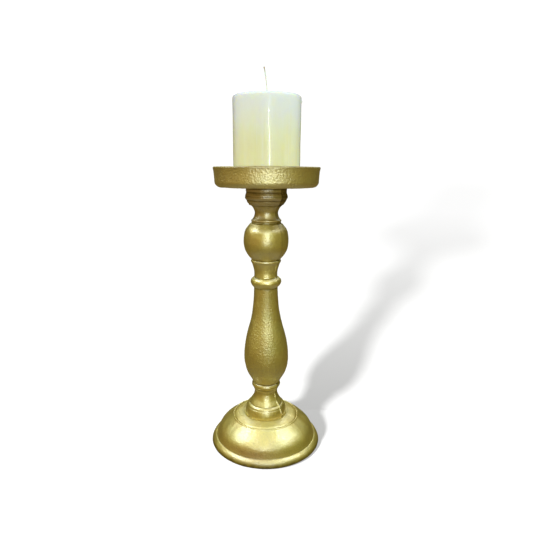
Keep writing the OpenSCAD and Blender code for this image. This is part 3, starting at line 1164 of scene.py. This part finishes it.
def white_paper(deepest):
    """White card: grey in shadow near the object, paler further up, evenly white where the lamp reaches it.

    It evens out how the lamp's light falls off with distance and slant, and its back can't be seen.
    """
    made, nodes, shader, place = material("white_paper")
    x, y, height = nodes.parts(place)
    to_lamp = nodes.vector("SUBTRACT", LAMP_AT, place)[0]
    away = nodes.vector("LENGTH", to_lamp)["Value"]
    toward = nodes.vector("DOT_PRODUCT", to_lamp, nodes.surface("Normal"))["Value"]
    falloff = nodes.math("DIVIDE", nodes.math("POWER", away, 3.0), nodes.math("MAXIMUM", toward, 0.02))
    glow = nodes.band(height, 0.0, 0.25, deepest, PALEST_SHADE, "LINEAR")
    reach = nodes.vector("LENGTH", nodes.joined(x, y))["Value"]
    glow = nodes.math("MAXIMUM", glow, nodes.band(reach, 1.0, 1.5))
    grain = nodes.noise(place, scale=900.0)
    lack = nodes.math("SUBTRACT", PAPER_WHITE, glow)
    lack = nodes.math("MULTIPLY", lack, nodes.band(grain, 0.3, 0.7, to_low=0.995, to_high=1.005))
    shade = nodes.math("MULTIPLY", nodes.math("MULTIPLY", falloff, lack), PAPER_SHARE)
    shade = nodes.math("MINIMUM", shade, 0.9)
    looks = {
        "Base Color": nodes.joined(shade, shade, shade),
        "Roughness": 1.0,
        "Specular IOR Level": 0.0,
        "Emission Color": (1, 1, 1, 1),
        "Emission Strength": glow,
    }
    nodes.feed_all(shader, looks)
    unseen = nodes.add("ShaderNodeBsdfTransparent").outputs[0]
    sides = {0: nodes.surface("Backfacing"), 1: shader.outputs[0], 2: unseen}
    either = nodes.add("ShaderNodeMixShader", sides).outputs[0]
    nodes.feed(either, made.node_tree.nodes["Material Output"].inputs[0])
    return made


def white_glow():
    """A plain white that lights nothing."""
    made, nodes, shader, place = material("white_backdrop")
    looks = {
        "Base Color": (0, 0, 0, 1),
        "Specular IOR Level": 0.0,
        "Emission Color": (1, 1, 1, 1),
        "Emission Strength": 1.1,
    }
    nodes.feed_all(shader, looks)
    return made


def stage_floor(paper):
    """A level floor."""
    ring = []
    for k in range(FLOOR_SIDES):
        a = FULL_TURN * k / FLOOR_SIDES
        ring.append((STAGE_REACH * math.cos(a), STAGE_REACH * math.sin(a), 0.0))
    return stage_piece("floor", ring, [tuple(range(FLOOR_SIDES))], paper)


def leaning_board(paper):
    """A white board that leans back behind the foot and catches the object's shadow."""
    top = BOARD_RUN * math.tan(BOARD_LEAN)
    end = BOARD_START + BOARD_RUN
    verts = [
        (-BOARD_HALF_WIDTH, BOARD_START, 0.0),
        (BOARD_HALF_WIDTH, BOARD_START, 0.0),
        (BOARD_HALF_WIDTH, end, top),
        (-BOARD_HALF_WIDTH, end, top),
    ]
    return stage_piece("board", verts, [(0, 1, 2, 3)], paper)


def backdrop(glow):
    """A white dome all round."""
    verts = []
    for i in range(DOME_ROWS):
        tilt = math.radians(-90 + 178 * i / (DOME_ROWS - 1))
        across = STAGE_REACH * math.cos(tilt)
        for k in range(DOME_SIDES):
            a = FULL_TURN * k / DOME_SIDES
            verts.append((across * math.cos(a), across * math.sin(a), STAGE_REACH * math.sin(tilt)))
    return stage_piece("backdrop", verts, grid_faces(DOME_ROWS, DOME_SIDES, closed_rows=False), glow)


FLOOR = stage_floor(white_paper(FLOOR_SHADE))
BOARD = leaning_board(white_paper(BOARD_SHADE))
STAGE = [FLOOR, BOARD, backdrop(white_glow())]


def direction(azimuth, elevation):
    """Towards a light: azimuth 0 is the camera's side, positive to its right."""
    a, e = math.radians(azimuth), math.radians(elevation)
    return Vector((math.sin(a) * math.cos(e), -math.cos(a) * math.cos(e), math.sin(e)))


def gathered(name, pieces):
    group = bpy.data.collections.new(name)
    for piece in pieces:
        group.objects.link(piece)
    return group


def only_on(light, pieces):
    light.light_linking.receiver_collection = gathered(light.name + "_receivers", pieces)


def only_shaded_by(light, pieces):
    light.light_linking.blocker_collection = gathered(light.name + "_blockers", pieces)


def soft_box(
    name,
    pieces,
    azimuth,
    elevation,
    wide,
    tall,
    radiance,
    distance=1.6,
    aim=(0, 0, 0.2),
    glossy=True,
    colour=DAYLIGHT,
):
    """A rectangular light aimed at the object, which lights only the given pieces."""
    data = bpy.data.lights.new(name, "AREA")
    data.shape = "RECTANGLE"
    data.size = wide
    data.size_y = tall
    data.energy = radiance * math.pi * wide * tall
    data.color = colour
    light = bpy.data.objects.new(name, data)
    bpy.context.scene.collection.objects.link(light)
    way = direction(azimuth, elevation)
    light.location = Vector(aim) + way * distance
    light.rotation_mode = "QUATERNION"
    light.rotation_quaternion = way.to_track_quat("Z", "Y")
    light.visible_camera = False
    light.visible_glossy = glossy
    only_on(light, pieces)
    return light


def shadow_lamp(sheets):
    """A small near lamp that lights only the stage, and so casts the object's shadow on it."""
    data = bpy.data.lights.new("shadow_lamp", "POINT")
    data.energy = LAMP_POWER
    data.shadow_soft_size = LAMP_RADIUS
    light = bpy.data.objects.new("shadow_lamp", data)
    light.location = LAMP_AT
    bpy.context.scene.collection.objects.link(light)
    only_on(light, sheets)


def lights():
    """Each group of pieces has its own soft boxes, placed where the photo's highlights mirror them."""
    everything = [piece for piece in bpy.data.objects if piece.type == "MESH"]
    candle = [bpy.data.objects[name] for name in ("candle", "wick")]
    foot = [bpy.data.objects["foot"]]
    beads = [BEAD, NECK]
    gold = [piece for piece in everything if piece not in candle + STAGE]
    stem = [piece for piece in gold if piece not in foot]
    plain = [piece for piece in stem if piece not in beads + [PEAR]]
    soft_box("key_left", gold, -79, 47, wide=0.58, tall=0.60, radiance=9.8)
    soft_box("key_right", stem, 66, 54, wide=0.6, tall=0.6, radiance=2.4)
    soft_box("foot_key", foot, 71, 50, wide=0.56, tall=0.52, radiance=8.8)
    soft_box("front_window", plain, 6, 18, wide=0.55, tall=1.45, radiance=4.8)
    soft_box("bead_window", beads, 6, 20, wide=0.75, tall=1.6, radiance=6.8)
    soft_box("pear_window", [PEAR], 8, 22, wide=0.9, tall=1.3, radiance=2.5)
    soft_box("foot_front", foot, 0, 31, wide=1.1, tall=0.45, radiance=3.0)
    above = soft_box("foot_top", foot, 180, 64, wide=0.44, tall=0.5, radiance=13.0)
    only_shaded_by(above, foot)
    soft_box("pan_strip", [PAN], 4, -6, wide=0.34, tall=0.7, radiance=6.0)
    soft_box("back_top", stem, 178, 46, wide=1.8, tall=0.9, radiance=3.0)
    behind = soft_box("foot_back", foot, 180, 44, wide=0.24, tall=0.5, radiance=5.5)
    only_shaded_by(behind, foot)
    dull = {"wide": 0.9, "tall": 0.9, "glossy": False, "colour": CANDLE_LIGHT}
    soft_box("wax_left", candle, -66, 25, radiance=3.9, **dull)
    soft_box("wax_right", candle, 66, 25, radiance=4.05, **dull)
    slit = {"wide": 0.012, "tall": 0.5, "distance": 1.4, "aim": (0, 0, 0.36)}
    soft_box("wax_line", candle, 8.5, 0.5, radiance=190.0, **slit)
    shadow_lamp([FLOOR, BOARD])


def surroundings():
    """A dim room: bright above, dull below, warm on the left, greener on the right and dark behind."""
    warm_wall = (0.44, 0.31, 0.11, 1)
    green_wall = (0.30, 0.29, 0.08, 1)
    dark_wall = (0.06, 0.045, 0.015, 1)
    skirting = (0.20, 0.15, 0.045, 1)
    pale_floor = (0.38, 0.37, 0.26, 1)
    ceiling = (1.05, 1.10, 1.08, 1)
    world = bpy.data.worlds.new("room")
    bpy.context.scene.world = world
    world.use_nodes = True
    world.node_tree.nodes.clear()
    nodes = Nodes(world.node_tree)
    way = nodes.add("ShaderNodeTexCoord").outputs["Generated"]
    x, y, z = nodes.parts(way)
    tone = nodes.mix(nodes.band(x, -0.8, 0.8), warm_wall, green_wall)
    tone = nodes.mix(nodes.band(y, -0.15, 0.6, to_high=0.85), tone, dark_wall)
    tone = nodes.mix(nodes.band(z, -0.38, -0.08), skirting, tone)
    tone = nodes.mix(nodes.band(z, -0.85, -0.50), pale_floor, tone)
    tone = nodes.mix(nodes.band(z, 0.40, 0.72), tone, ceiling)
    background = nodes.add("ShaderNodeBackground", {"Color": tone, "Strength": 1.0})
    output = nodes.add("ShaderNodeOutputWorld")
    nodes.feed(background.outputs[0], output.inputs[0])


lights()
surroundings()
